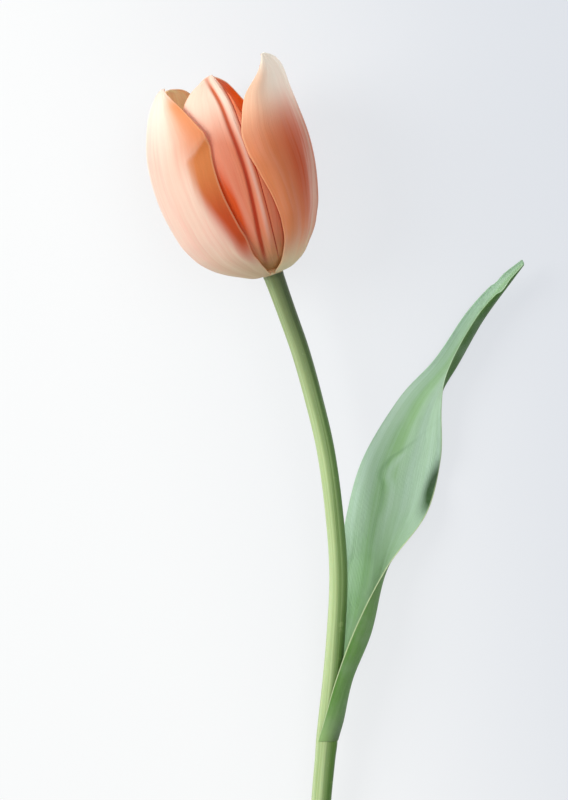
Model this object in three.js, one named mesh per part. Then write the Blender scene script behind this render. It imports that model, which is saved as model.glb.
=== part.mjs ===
// A cut tulip lying on a table: curved stem, one clasping leaf, cup-shaped flower.
// Millimetres, +Z up from the table, +Y along the flower's length.
import * as THREE from 'three';

// ---- Driving sizes ----
const FLOWER_HEIGHT = 70;        // receptacle to tepal tips, along the flower's axis
const FLOWER_RADIUS = 27;        // widest part of the cup
const FLOWER_LEAN = 19;          // degrees the flower leans to its left
const FLOWER_RISE = 5.5;         // degrees the flower's axis climbs off the table
const FLATTENING = 0.45;         // depth by which the cup is pressed flat where it rests
const OUTER_TEPAL_WIDTH = 42;
const INNER_TEPAL_WIDTH = 36;
const WHORL_GAP = 2.5;           // inner tepals stand this far inside the outer ones
const TEPAL_THICKNESS = 0.9;
const TEPAL_MARGIN = 0.5;        // thickness at a tepal's margin
const STEM_LENGTH = 236;
const STEM_RADIUS = 3.15;
const CUT_SLANT = 0.18;          // slope of the cut across the stem's end
const LEAF_LENGTH = 172;
const LEAF_WIDTH = 30;
const LEAF_THICKNESS = 1.2;
const LEAF_MARGIN = 0.55;
const LEAF_NODE = 0.693;         // part of the stem's length between the flower and the leaf
const STAMEN_LENGTH = 24;
const PISTIL_LENGTH = 24;
const CLEARANCE = 0.35;          // gap left between pieces that touch

// ---- Sizes that follow from them ----
const RECEPTACLE_RADIUS = STEM_RADIUS * 1.12;
const RECEPTACLE_HEIGHT = 2.5;
const RECEPTACLE_TOP_RADIUS = RECEPTACLE_RADIUS * 0.62;
const CUT_RADIUS = STEM_RADIUS * 1.1;
const OUTER_BASE_RADIUS = RECEPTACLE_RADIUS + CLEARANCE + 0.35;
const STAMEN_FOOT_RADIUS = RECEPTACLE_TOP_RADIUS + 0.85;
const STAMEN_FOOT_HEIGHT = RECEPTACLE_HEIGHT + CLEARANCE + 0.4;
const RISE = THREE.MathUtils.degToRad(FLOWER_RISE);

const mix = THREE.MathUtils.lerp;
const smooth = THREE.MathUtils.smoothstep;
const vec = (x, y, z) => new THREE.Vector3(x, y, z);

// Smooth curve through [position, value] knots, flat beyond the ends.
function spline(knots) {
  const slope = knots.map((knot, i) => {
    if (i === 0 || i === knots.length - 1) return null;
    const before = (knot[1] - knots[i - 1][1]) / (knot[0] - knots[i - 1][0]);
    const after = (knots[i + 1][1] - knot[1]) / (knots[i + 1][0] - knot[0]);
    return before * after <= 0 ? 0 : (2 * before * after) / (before + after);
  });
  return (t) => {
    if (t <= knots[0][0]) return knots[0][1];
    const i = knots.findIndex((knot) => knot[0] >= t);
    if (i < 0) return knots[knots.length - 1][1];
    const [t0, y0] = knots[i - 1];
    const [t1, y1] = knots[i];
    const span = t1 - t0;
    const chord = (y1 - y0) / span;
    const m0 = slope[i - 1] ?? chord;
    const m1 = slope[i] ?? chord;
    const s = (t - t0) / span;
    const ease = s * s * (3 - 2 * s);
    const bend0 = s * (1 - s) * (1 - s) * m0 * span;
    const bend1 = s * s * (s - 1) * m1 * span;
    return mix(y0, y1, ease) + bend0 + bend1;
  };
}

function bodyFrom(positions, index) {
  const geometry = new THREE.BufferGeometry();
  const flat = positions.flatMap((p) => [p.x, p.y, p.z]);
  geometry.setAttribute('position', new THREE.Float32BufferAttribute(flat, 3));
  geometry.setIndex(index);
  geometry.computeVertexNormals();
  return geometry;
}

// Thin closed body around a middle surface; u runs -1..1 across, v 0..1 along.
function sheet(point, thickness, across, along) {
  const step = 1e-3;
  const corners = [];
  const normals = [];
  for (let j = 0; j <= along; j += 1) {
    for (let i = 0; i <= across; i += 1) {
      const u = (2 * i) / across - 1;
      const v = j / along;
      const [u0, u1] = [Math.max(u - step, -1), Math.min(u + step, 1)];
      const [v0, v1] = [Math.max(v - step, 0), Math.min(v + step, 1)];
      const du = point(u1, v).sub(point(u0, v));
      const dv = point(u, v1).sub(point(u, v0));
      corners.push({ p: point(u, v), half: thickness(u, v) / 2 });
      normals.push(du.cross(dv).normalize());
    }
  }
  const faceOf = (side) => corners.map(({ p, half }, k) => (
    p.clone().addScaledVector(normals[k], side * half)
  ));
  const count = corners.length;
  const row = across + 1;
  const index = [];
  for (let j = 0; j < along; j += 1) {
    for (let i = 0; i < across; i += 1) {
      const a = j * row + i;
      const [b, c, d] = [a + 1, a + row + 1, a + row];
      index.push(a, b, c, a, c, d);
      index.push(count + a, count + c, count + b, count + a, count + d, count + c);
    }
  }
  const rim = [];
  for (let i = 0; i < across; i += 1) rim.push(i);
  for (let j = 0; j < along; j += 1) rim.push(j * row + across);
  for (let i = across; i > 0; i -= 1) rim.push(along * row + i);
  for (let j = along; j > 0; j -= 1) rim.push(j * row);
  rim.forEach((a, k) => {
    const b = rim[(k + 1) % rim.length];
    index.push(b, a, count + a, b, count + a, count + b);
  });
  return bodyFrom([...faceOf(1), ...faceOf(-1)], index);
}

// Closed body through rings of points along a curve; radius(t, angle) in mm.
function limb(curve, radius, around, along, slant = 0) {
  const frames = curve.computeFrenetFrames(along, false);
  const positions = [];
  for (let j = 0; j <= along; j += 1) {
    const t = j / along;
    const centre = curve.getPointAt(t);
    for (let k = 0; k < around; k += 1) {
      const angle = (2 * Math.PI * k) / around;
      const r = radius(t, angle);
      const offset = frames.normals[j].clone().multiplyScalar(r * Math.cos(angle));
      offset.addScaledVector(frames.binormals[j], r * Math.sin(angle));
      const shift = j === 0 ? slant * offset.x : 0;
      positions.push(centre.clone().add(offset).addScaledVector(frames.tangents[j], shift));
    }
  }
  const first = positions.length;
  positions.push(curve.getPointAt(0), curve.getPointAt(1));
  const index = [];
  for (let k = 0; k < around; k += 1) {
    const next = (k + 1) % around;
    for (let j = 0; j < along; j += 1) {
      const a = j * around;
      const b = a + around;
      index.push(a + k, a + next, b + next, a + k, b + next, b + k);
    }
    const last = along * around;
    index.push(first, next, k, first + 1, last + k, last + next);
  }
  return bodyFrom(positions, index);
}

function piece(name, geometry, color, roughness) {
  const material = new THREE.MeshStandardMaterial({ color, roughness, metalness: 0 });
  const mesh = new THREE.Mesh(geometry, material);
  mesh.name = name;
  return mesh;
}

// ---- Flower ----
// Flower space: Y along the axis from the receptacle, Z to the upper side, X to the right.
// Cup profile as [radius, height] fractions of the flower's radius and height.
const CUP = [
  [0.27, 0.016], [0.5, 0.066], [0.71, 0.143], [0.82, 0.214], [0.895, 0.286],
  [0.975, 0.43], [1, 0.57], [0.972, 0.71],
];

function cupCurve(inset, tip) {
  const whole = new THREE.SplineCurve([
    new THREE.Vector2(OUTER_BASE_RADIUS, 0.65),
    ...CUP.map(([r, a]) => new THREE.Vector2(r * FLOWER_RADIUS, a * FLOWER_HEIGHT)),
    ...tip.map(([r, a]) => new THREE.Vector2(r * FLOWER_RADIUS, a * FLOWER_HEIGHT)),
  ]);
  if (inset === 0) return whole;
  const inner = [new THREE.Vector2(RECEPTACLE_TOP_RADIUS + 0.95, RECEPTACLE_HEIGHT - 0.5)];
  for (let i = 2; i <= 16; i += 1) {
    const p = whole.getPointAt(i / 16);
    const along = whole.getTangentAt(i / 16);
    const depth = inset * mix(0.72, 1, smooth(i, 2, 5));
    inner.push(new THREE.Vector2(p.x - along.y * depth, p.y + along.x * depth));
  }
  return new THREE.SplineCurve(inner);
}

// Height of the receptacle that presses the cup onto the table by FLATTENING.
function restingHeight() {
  const cup = cupCurve(0, [[0.87, 0.857]]);
  let lowest = 0;
  for (let i = 0; i <= 200; i += 1) {
    const p = cup.getPointAt(i / 200);
    const low = p.y * Math.sin(RISE) - (p.x + TEPAL_THICKNESS / 2) * Math.cos(RISE);
    lowest = Math.min(lowest, low);
  }
  return -lowest - FLATTENING;
}
const FLOWER_BASE_HEIGHT = restingHeight();

// Half widths of the tepals as [part of the length, part of the half width].
const OUTER_HALF = [
  [0, 0.18], [0.1, 0.45], [0.2, 0.74], [0.3, 0.93], [0.5, 0.98],
  [0.65, 1.03], [0.75, 0.98], [0.88, 0.6], [1, 0.03],
];
const OUTER_HALF_FOLDED = [
  [0, 0.19], [0.04, 0.315], [0.1, 0.5], [0.2, 0.77], [0.32, 0.94], [0.5, 0.98], [0.7, 1.01],
  [0.745, 1], [0.78, 0.9], [0.88, 0.55], [0.95, 0.24], [1, 0.03],
];
const OUTER_HALF_NARROW = [
  [0, 0.19], [0.04, 0.315], [0.1, 0.4], [0.2, 0.49], [0.3, 0.58], [0.42, 0.74], [0.54, 0.92],
  [0.63, 1.02], [0.7, 1], [0.78, 0.87], [0.86, 0.68], [0.93, 0.34], [1, 0.03],
];
const INNER_HALF = [
  [0, 0.15], [0.2, 0.46], [0.4, 0.8], [0.6, 1], [0.75, 0.98], [0.88, 0.62], [1, 0.03],
];
const INNER_HALF_FULL = [
  [0, 0.15], [0.2, 0.46], [0.4, 0.8], [0.6, 1], [0.75, 0.96], [0.885, 0.8], [0.945, 0.6],
  [0.985, 0.36], [1, 0.03],
];
const INNER_HALF_FRONT = [
  [0, 0.15], [0.2, 0.5], [0.4, 0.86], [0.6, 1.06], [0.75, 1.04], [0.885, 0.8], [0.945, 0.52],
  [0.975, 0.26], [1, 0.03],
];
const OUTER_HALF_SLENDER = [
  [0, 0.18], [0.1, 0.45], [0.2, 0.74], [0.3, 0.93], [0.5, 0.98], [0.65, 0.9], [0.75, 0.62],
  [0.85, 0.4], [0.94, 0.24], [1, 0.03],
];
const INNER_HALF_FOLDED = [
  [0, 0.15], [0.2, 0.46], [0.4, 0.74], [0.58, 0.68], [0.68, 0.4], [0.76, 0.23],
  [0.88, 0.12], [1, 0.03],
];

// The cup sways off its axis as [height, sideways] fractions of the flower's height.
const sway = spline([
  [0.04, 0], [0.11, -0.021], [0.21, -0.027], [0.36, -0.023], [0.57, -0.015], [0.71, -0.008],
  [0.86, 0.005], [1, 0],
]);
const tableNormal = vec(0, Math.sin(RISE), Math.cos(RISE));

function tepal(name, options) {
  const { width, facing, left, right, tip, inset = 0, lean = 0, keel = 0, color } = options;
  const profile = cupCurve(inset, tip);
  const leftHalf = spline(left);
  const rightHalf = spline(right);
  const thickness = (u) => mix(TEPAL_THICKNESS, TEPAL_MARGIN, u * u);
  const centre = THREE.MathUtils.degToRad(facing);
  const point = (u, v) => {
    const at = profile.getPointAt(v);
    const half = (u < 0 ? leftHalf(v) : rightHalf(v)) * width / 2;
    const across = u * half;
    const ridge = keel * Math.exp(-((across / 3) ** 2)) * smooth(v, 0.15, 0.5);
    const r = at.x + ridge;
    const angle = centre + (across + lean * smooth(v, 0.5, 1)) / r;
    const aside = sway(at.y / FLOWER_HEIGHT) * FLOWER_HEIGHT;
    const p = vec(r * Math.sin(angle) + aside, at.y, r * Math.cos(angle));
    const height = FLOWER_BASE_HEIGHT + p.dot(tableNormal);
    const rest = thickness(u) / 2;
    if (height < rest) p.addScaledVector(tableNormal, rest - height);
    return p;
  };
  return piece(name, sheet(point, thickness, 12, 18), color, 0.55);
}

const flower = new THREE.Group();
flower.rotation.order = 'ZXY';
flower.rotation.set(RISE, 0, THREE.MathUtils.degToRad(FLOWER_LEAN));
flower.position.set(0, 0, FLOWER_BASE_HEIGHT);

const OUTER_TIP = [[0.87, 0.857], [0.69, 0.97], [0.6, 0.995]];
const FLARED_TIP = [[0.925, 0.83], [0.925, 0.93], [0.87, 1.005]];
const SPREAD_TIP = [[0.91, 0.857], [0.86, 0.93], [0.82, 0.97]];
const CLOSED_TIP = [[0.87, 0.857], [0.72, 0.965], [0.67, 1.002]];
const BACK_TIP = [[0.87, 0.857], [0.69, 0.96], [0.61, 0.983]];
const outer = { width: OUTER_TEPAL_WIDTH, left: OUTER_HALF, right: OUTER_HALF, tip: OUTER_TIP };
const inner = {
  width: INNER_TEPAL_WIDTH, left: INNER_HALF, right: INNER_HALF, tip: CLOSED_TIP, inset: WHORL_GAP,
};

flower.add(
  tepal('outer_tepal_left', { ...outer, facing: -60, right: OUTER_HALF_FOLDED, color: '#f3d3b6' }),
  tepal('outer_tepal_right', {
    ...outer,
    facing: 60,
    left: OUTER_HALF_NARROW,
    tip: FLARED_TIP,
    lean: -0.8,
    color: '#d99a76',
  }),
  tepal('outer_tepal_back', {
    ...outer,
    facing: 180,
    left: OUTER_HALF_SLENDER,
    tip: BACK_TIP,
    lean: -1,
    color: '#e8aa7e',
  }),
  tepal('inner_tepal_front', {
    ...inner,
    facing: 12.5,
    left: INNER_HALF_FRONT,
    right: INNER_HALF_FOLDED,
    keel: 0.7,
    lean: -1.8,
    color: '#dd8a62',
  }),
  tepal('inner_tepal_back_left', {
    ...inner, facing: -124, left: INNER_HALF_FULL, color: '#eda873',
  }),
  tepal('inner_tepal_back_right', {
    ...inner, facing: 112, tip: SPREAD_TIP, color: '#e08a58',
  }),
);

// Six stamens around the pistil, hidden deep in the cup.
const FILAMENT_PART = 0.4;
for (let i = 0; i < 6; i += 1) {
  const turn = (i * Math.PI) / 3;
  const outward = (r, a) => vec(r * Math.sin(turn), a, r * Math.cos(turn));
  const foot = STAMEN_FOOT_HEIGHT;
  const joint = foot + STAMEN_LENGTH * FILAMENT_PART;
  const spread = STAMEN_FOOT_RADIUS + 2.2;
  const filament = new THREE.CatmullRomCurve3([
    outward(STAMEN_FOOT_RADIUS, foot),
    outward(STAMEN_FOOT_RADIUS + 1.2, mix(foot, joint, 0.5)),
    outward(spread, joint),
  ]);
  const anther = new THREE.CatmullRomCurve3([
    outward(spread + 0.1, joint + CLEARANCE),
    outward(spread + 0.8, joint + STAMEN_LENGTH * 0.3),
    outward(spread + 1, foot + STAMEN_LENGTH),
  ]);
  const girth = spline([[0, 0.35], [0.1, 0.95], [0.45, 1.15], [0.85, 0.95], [1, 0.3]]);
  const lobed = (t, angle) => girth(t) * (1 + 0.1 * Math.cos(2 * angle));
  const side = `${i + 1}`;
  const strand = limb(filament, (t) => mix(0.6, 0.35, t), 8, 5);
  flower.add(piece(`filament_${side}`, strand, '#d9d27c', 0.6));
  flower.add(piece(`anther_${side}`, limb(anther, lobed, 10, 10), '#4a3826', 0.8));
}

// Three-sided ovary under a three-lobed stigma.
const pistilFoot = RECEPTACLE_HEIGHT + CLEARANCE;
const pistilAxis = new THREE.LineCurve3(vec(0, pistilFoot, 0), vec(0, pistilFoot + PISTIL_LENGTH, 0));
const pistilGirth = spline([
  [0, 0.8], [0.1, 0.9], [0.4, 1.35], [0.7, 1.2], [0.84, 1.05], [0.93, 1.8], [1, 1.3],
]);
const pistilLobes = spline([[0, 0], [0.1, 0.06], [0.84, 0.08], [0.93, 0.25], [1, 0.3]]);
flower.add(piece('pistil', limb(pistilAxis, (t, angle) => (
  pistilGirth(t) * RECEPTACLE_TOP_RADIUS * (1 + pistilLobes(t) * Math.cos(3 * angle))
), 18, 14), '#a9b46a', 0.6));

// ---- Stem ----
// Course of the stem below the flower, as [sideways, down] fractions of its length.
const STEM_COURSE = [
  [0.052, 0.97], [0.063, 0.838], [0.07, 0.737], [0.08, 0.624], [0.089, 0.52], [0.093, 0.427],
  [0.086, 0.331], [0.074, 0.246], [0.058, 0.178], [0.039, 0.11], [0.019, 0.053],
];
const receptacle = vec(0, 0, FLOWER_BASE_HEIGHT);
const stemPath = new THREE.CatmullRomCurve3([
  ...STEM_COURSE.map(([aside, down]) => vec(
    aside * STEM_LENGTH,
    -down * STEM_LENGTH,
    mix(FLOWER_BASE_HEIGHT, CUT_RADIUS, down / STEM_COURSE[0][1]),
  )),
  receptacle,
  flower.localToWorld(vec(0, RECEPTACLE_HEIGHT, 0)),
]);
const headPart = RECEPTACLE_HEIGHT / stemPath.getLength();
const stemGirth = spline([
  [0, 1.1], [0.28, 1.06], [1 - LEAF_NODE, 1.12], [0.4, 1.02], [0.7, 0.96], [0.93, 1],
  [1 - 1.6 * headPart, 1.08], [1 - headPart, RECEPTACLE_RADIUS / STEM_RADIUS],
  [1 - 0.3 * headPart, 0.85], [1, RECEPTACLE_TOP_RADIUS / STEM_RADIUS],
]);
const stemRadius = (t) => stemGirth(t) * STEM_RADIUS;

// Stations along the stem crowd toward the receptacle, where its outline changes fast.
class Crowded extends THREE.Curve {
  getPoint(t) {
    return stemPath.getPointAt(crowd(t));
  }
}
const crowd = (t) => (t < 0.8 ? (t / 0.8) * (1 - 3 * headPart) : mix(1 - 3 * headPart, 1, (t - 0.8) / 0.2));
const stemCurve = new Crowded();
stemCurve.getPointAt = stemCurve.getPoint;
stemCurve.getTangentAt = (t) => stemPath.getTangentAt(crowd(t));
const stem = piece('stem', limb(
  stemCurve, (t) => stemRadius(crowd(t)), 20, 40, CUT_SLANT,
), '#7f9a55', 0.5);

// ---- Leaf ----
// Sections from base to tip: far margin, keel and near margin. The first ones are offsets
// from the stem's centre; the rest are measured from the leaf's node, heights off the table.
const CLASP = [
  { up: 0, far: [-0.4, -1], keel: [1, 0], near: [-0.75, 0.66] },
  { up: 8, far: [-0.4, -1.05], keel: [1.08, -0.08], near: [-0.3, 0.96] },
  { up: 21, far: [-0.35, -1.22], keel: [1.4, -0.5], near: [0.25, 1.08] },
];
const BLADE = [
  { far: [1.7, 37.5, 4.8], keel: [14.2, 37.6, 5.4], near: [9.5, 38.3, 16.2] },
  { far: [4.1, 58, 2.4], keel: [18.6, 57.7, 4], near: [20.2, 58.2, 11.4] },
  { far: [7.1, 76.6, 0.8], keel: [21.9, 76.3, 3.4], near: [34.2, 76.6, 7] },
  { far: [12.5, 95.2, 0.3], keel: [25.7, 95.1, 3.6], near: [38.9, 95.2, 6.4] },
  { far: [24.7, 115.5, 1], keel: [33.8, 114.1, 4], near: [39.2, 112.8, 8] },
  { far: [36.3, 128.4, 2.8], keel: [42.6, 126.2, 4.8], near: [41, 124.9, 11] },
  { far: [47.9, 145.1, 4.6], keel: [52.9, 143, 6.2], near: [50.8, 143.4, 11] },
  { far: [58.7, 156.6, 7.4], keel: [61.7, 154.8, 8.4], near: [60.6, 154.3, 11] },
  { far: [66.1, 162.4, 10], keel: [66.7, 161.2, 9.8], near: [66.4, 160.7, 10.6] },
];
const node = stemPath.getPointAt(1 - LEAF_NODE);
const sheath = STEM_RADIUS * 1.12 + CLEARANCE + LEAF_THICKNESS / 2;
const long = LEAF_LENGTH / 172;
const wide = LEAF_WIDTH / 30;

function stemCentreAt(up) {
  const t = 1 - LEAF_NODE + up / stemPath.getLength();
  return stemPath.getPointAt(t);
}

const sections = [
  ...CLASP.map(({ up, far, keel, near }) => {
    const centre = stemCentreAt(up * long);
    const place = ([x, z]) => centre.clone().add(vec(x * sheath, 0, z * sheath));
    return { far: place(far), keel: place(keel), near: place(near) };
  }),
  ...BLADE.map(({ far, keel, near }) => {
    const place = ([x, y, z]) => vec(node.x + x * long, node.y + y * long, z);
    const middle = place(keel);
    const margin = (p) => place(p).sub(middle).multiplyScalar(wide).add(middle);
    return { far: margin(far), keel: middle, near: margin(near) };
  }),
];
const farMargin = new THREE.CatmullRomCurve3(sections.map((s) => s.far));
const keelLine = new THREE.CatmullRomCurve3(sections.map((s) => s.keel));
const nearMargin = new THREE.CatmullRomCurve3(sections.map((s) => s.near));

const leafThickness = (u, v) => (
  mix(LEAF_THICKNESS, LEAF_MARGIN, u * u) * mix(1, 0.55, smooth(v, 0.8, 1))
);

// Circular arc through the three points of a section; u -1 far margin, 0 keel, 1 near margin.
function leafPoint(u, v) {
  const [f, k, n] = [farMargin.getPoint(v), keelLine.getPoint(v), nearMargin.getPoint(v)];
  const a = f.clone().sub(k);
  const b = n.clone().sub(k);
  const cross = a.clone().cross(b);
  const toCentre = b.clone().multiplyScalar(a.lengthSq()).sub(a.clone().multiplyScalar(b.lengthSq()));
  const centre = toCentre.cross(cross).multiplyScalar(0.5 / cross.lengthSq()).add(k);
  const out = k.clone().sub(centre);
  const radius = out.length();
  out.normalize();
  const side = cross.clone().normalize().cross(out).normalize();
  const reach = (p) => {
    const q = p.clone().sub(centre);
    return Math.atan2(q.dot(side), q.dot(out));
  };
  const turn = u < 0 ? -u * reach(f) : u * reach(n);
  centre.addScaledVector(out, radius * Math.cos(turn));
  centre.addScaledVector(side, radius * Math.sin(turn));
  centre.z = Math.max(centre.z, leafThickness(u, v) / 2);
  return centre;
}
const leaf = piece('leaf', sheet(leafPoint, leafThickness, 12, 48), '#8fb58c', 0.6);

// ---- Whole plant, centred over the table under its bounding box ----
const plant = new THREE.Group();
plant.add(flower, stem, leaf);
plant.updateMatrixWorld(true);
const box = new THREE.Box3().setFromObject(plant, true);
const middle = box.getCenter(new THREE.Vector3());
plant.position.set(-middle.x, -middle.y, -box.min.z);

const tulip = new THREE.Group();
tulip.name = 'cut_tulip';
tulip.add(plant);

export default tulip;
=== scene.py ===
"""Looks of a cut tulip lying on a pale floor: curved stem, clasping leaf and cup-shaped flower.

Laid out as an add-on: settings, one operator for each piece or group of like pieces, and a panel.
"""

import math

import bmesh
import bpy
from bpy.props import FloatProperty, FloatVectorProperty, PointerProperty
from mathutils import Matrix, Vector


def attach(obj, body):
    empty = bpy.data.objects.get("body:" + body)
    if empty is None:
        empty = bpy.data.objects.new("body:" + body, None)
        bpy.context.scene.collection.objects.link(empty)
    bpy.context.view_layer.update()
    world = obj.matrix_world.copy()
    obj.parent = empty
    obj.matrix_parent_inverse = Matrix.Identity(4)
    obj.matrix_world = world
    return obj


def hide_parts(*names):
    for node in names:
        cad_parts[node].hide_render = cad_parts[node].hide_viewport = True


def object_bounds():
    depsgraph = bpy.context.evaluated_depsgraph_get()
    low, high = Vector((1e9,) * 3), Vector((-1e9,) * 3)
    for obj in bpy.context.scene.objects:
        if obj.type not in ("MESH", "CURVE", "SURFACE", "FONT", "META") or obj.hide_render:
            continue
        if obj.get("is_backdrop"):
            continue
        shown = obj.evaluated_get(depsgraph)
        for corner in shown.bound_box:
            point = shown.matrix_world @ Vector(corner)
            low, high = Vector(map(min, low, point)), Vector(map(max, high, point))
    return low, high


bl_info = {
    "name": "Cut Tulip",
    "version": (1, 0, 0),
    "blender": (4, 5, 0),
    "location": "View3D > Sidebar > Tulip",
    "description": "Builds a cut tulip: stem, leaf, tepals, stamens and pistil",
    "category": "Object",
}

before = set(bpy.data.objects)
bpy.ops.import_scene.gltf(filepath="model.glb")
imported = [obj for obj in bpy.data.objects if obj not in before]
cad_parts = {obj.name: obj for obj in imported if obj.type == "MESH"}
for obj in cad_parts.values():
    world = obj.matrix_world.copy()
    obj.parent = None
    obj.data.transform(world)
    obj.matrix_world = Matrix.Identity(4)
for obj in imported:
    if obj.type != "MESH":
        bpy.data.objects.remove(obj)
CAD_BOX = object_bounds()
MM = 0.001
WHITE = (1, 1, 1, 1)
# The receptacle's and its top's radius, as parts of the stem's and the receptacle's.
RECEPTACLE = 1.12
RECEPTACLE_TOP = 0.62
# Height of the receptacle, and the part of the stem's rows that lies below its crowded rings.
HEAD = 2.5 * MM
CROWDED = 0.85
# Line on the floor where the leaf's near margin starts to roll over: x = slope * y + start, mm.
ROLL_SLOPE = 0.36
ROLL_START = 28.6
# Width that the "span" UVs cover across a tepal, in mm.
SPAN = 60.0
# Half the floor's width, the point that the lights aim at, and what the camera looks down on.
FLOOR_REACH = 2.5
LIT_CENTRE = Vector((-0.018, 0.036, 0.02))
VIEW_CENTRE = (-0.017787, 0.036658)
# Rows, or columns and rows, of each grid.
TEPAL_ROWS = 84
STEM_GRID = (48, 240)
LEAF_GRID = (44, 180)
FILAMENT_GRID = (14, 24)
ANTHER_GRID = (28, 44)
PISTIL_GRID = (72, 90)

# Shape of the cup: [radius, height] as parts of the flower's radius and height.
CUP = [
    (0.27, 0.016), (0.5, 0.066), (0.71, 0.143), (0.82, 0.214), (0.895, 0.286),
    (0.975, 0.43), (1, 0.57), (0.972, 0.71),
]
OUTER_TIP = [(0.87, 0.857), (0.69, 0.97), (0.6, 0.995)]
FLARED_TIP = [(0.925, 0.83), (0.925, 0.93), (0.87, 1.005)]
CLOSED_TIP = [(0.87, 0.857), (0.72, 0.965), (0.67, 1.002)]
BACK_TIP = [(0.87, 0.857), (0.69, 0.96), (0.61, 0.983)]
SPREAD_TIP = [(0.91, 0.857), (0.86, 0.93), (0.82, 0.97)]
# How far the cup sways off its axis, as parts of its height.
SWAY = [
    (0.04, 0), (0.11, -0.021), (0.21, -0.027), (0.36, -0.023), (0.57, -0.015), (0.71, -0.008),
    (0.86, 0.005), (1, 0),
]
# Half widths of the tepals: [part of the length, part of the half width].
OUTER_FOOT = [(0, 0.18), (0.1, 0.45), (0.2, 0.74), (0.3, 0.93), (0.5, 0.98)]
OUTER_HALF = OUTER_FOOT + [
    (0.65, 1.03), (0.75, 0.98), (0.88, 0.6), (0.96, 0.22), (1, 0.02),
]
OUTER_HALF_FOLDED = [
    (0, 0.19), (0.04, 0.315), (0.1, 0.5), (0.17, 0.72), (0.2, 0.77), (0.24, 0.84),
    (0.32, 0.94), (0.42, 0.97), (0.52, 0.98), (0.62, 0.99), (0.7, 1.01), (0.745, 1.0),
    (0.78, 0.9), (0.88, 0.55), (0.95, 0.24), (0.985, 0.07), (1, 0.02),
]
OUTER_HALF_NARROW = [
    (0, 0.19), (0.04, 0.315), (0.1, 0.4), (0.2, 0.49), (0.3, 0.58), (0.42, 0.74),
    (0.54, 0.92), (0.63, 1.02), (0.7, 1.0), (0.78, 0.87), (0.86, 0.68), (0.93, 0.34),
    (0.98, 0.1), (1, 0.02),
]
OUTER_HALF_BROAD = OUTER_FOOT + [
    (0.65, 1.03), (0.75, 1), (0.88, 0.78), (0.95, 0.52), (0.985, 0.26), (1, 0.02),
]
OUTER_HALF_SLENDER = OUTER_FOOT + [
    (0.65, 0.9), (0.75, 0.62), (0.85, 0.4), (0.94, 0.24), (1, 0.03),
]
INNER_FOOT = [(0, 0.15), (0.2, 0.46), (0.4, 0.8), (0.6, 1)]
INNER_HALF = INNER_FOOT + [(0.75, 0.98), (0.88, 0.62), (1, 0.03)]
INNER_HALF_FULL = INNER_FOOT + [
    (0.75, 0.96), (0.885, 0.8), (0.945, 0.6), (0.985, 0.36), (1, 0.03),
]
INNER_HALF_FRONT = [
    (0, 0.15), (0.2, 0.5), (0.4, 0.86), (0.6, 1.06), (0.75, 1.04), (0.885, 0.8), (0.945, 0.52),
    (0.97, 0.32), (0.985, 0.17), (1, 0.02),
]
INNER_HALF_FOLDED = [
    (0, 0.15), (0.2, 0.46), (0.4, 0.74), (0.58, 0.68), (0.68, 0.4), (0.76, 0.23), (0.82, 0.15),
    (0.88, 0.12), (0.95, 0.06), (1, 0.02),
]
# Course of the stem below the flower: [sideways, down] as parts of its length.
STEM_COURSE = [
    (0.052, 0.97), (0.063, 0.838), (0.07, 0.737), (0.08, 0.624), (0.089, 0.52), (0.093, 0.427),
    (0.086, 0.331), (0.074, 0.246), (0.058, 0.178), (0.039, 0.11), (0.019, 0.053),
]
# Leaf sections: far margin, keel, near margin. The clasping ones are offsets from the stem's
# centre in sheath radii; the blade's are measured from the node, heights off the floor, in mm.
CLASP = [
    (0, (-0.4, -1), (1, 0), (-0.75, 0.66)),
    (8, (-0.4, -1.05), (1.08, -0.08), (-0.3, 0.96)),
    (21, (-0.35, -1.22), (1.4, -0.5), (0.25, 1.08)),
]
BLADE = [
    ((1.7, 37.5, 4.8), (14.2, 37.6, 5.4), (9.5, 38.3, 16.2)),
    ((4.1, 58, 2.4), (18.6, 57.7, 4), (20.2, 58.2, 11.4)),
    ((7.1, 76.6, 0.8), (21.9, 76.3, 3.4), (34.2, 76.6, 7)),
    ((12.5, 95.2, 0.3), (25.7, 95.1, 3.6), (38.9, 95.2, 6.4)),
    ((24.7, 115.5, 1), (33.8, 114.1, 4), (39.2, 112.8, 8)),
    ((36.3, 128.4, 2.8), (42.6, 126.2, 4.8), (41, 124.9, 11)),
    ((47.9, 145.1, 4.6), (52.9, 143, 6.2), (50.8, 143.4, 11)),
    ((58.7, 156.6, 7.4), (61.7, 154.8, 8.4), (60.6, 154.3, 11)),
    ((66.1, 162.4, 10), (66.7, 161.2, 9.8), (66.4, 160.7, 10.6)),
]
# Course of the hooked crease across the leaf's face, on the floor, in mm.
LEAF_CREASE = [
    (8, -60), (12.6, -17.5), (14.3, -7), (16.4, 4.5), (16.4, 12.3), (15.7, 16.4), (18.7, 23.8),
    (23.1, 28.2), (30.2, 35.6), (36.3, 42.4), (50, 60),
]
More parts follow.
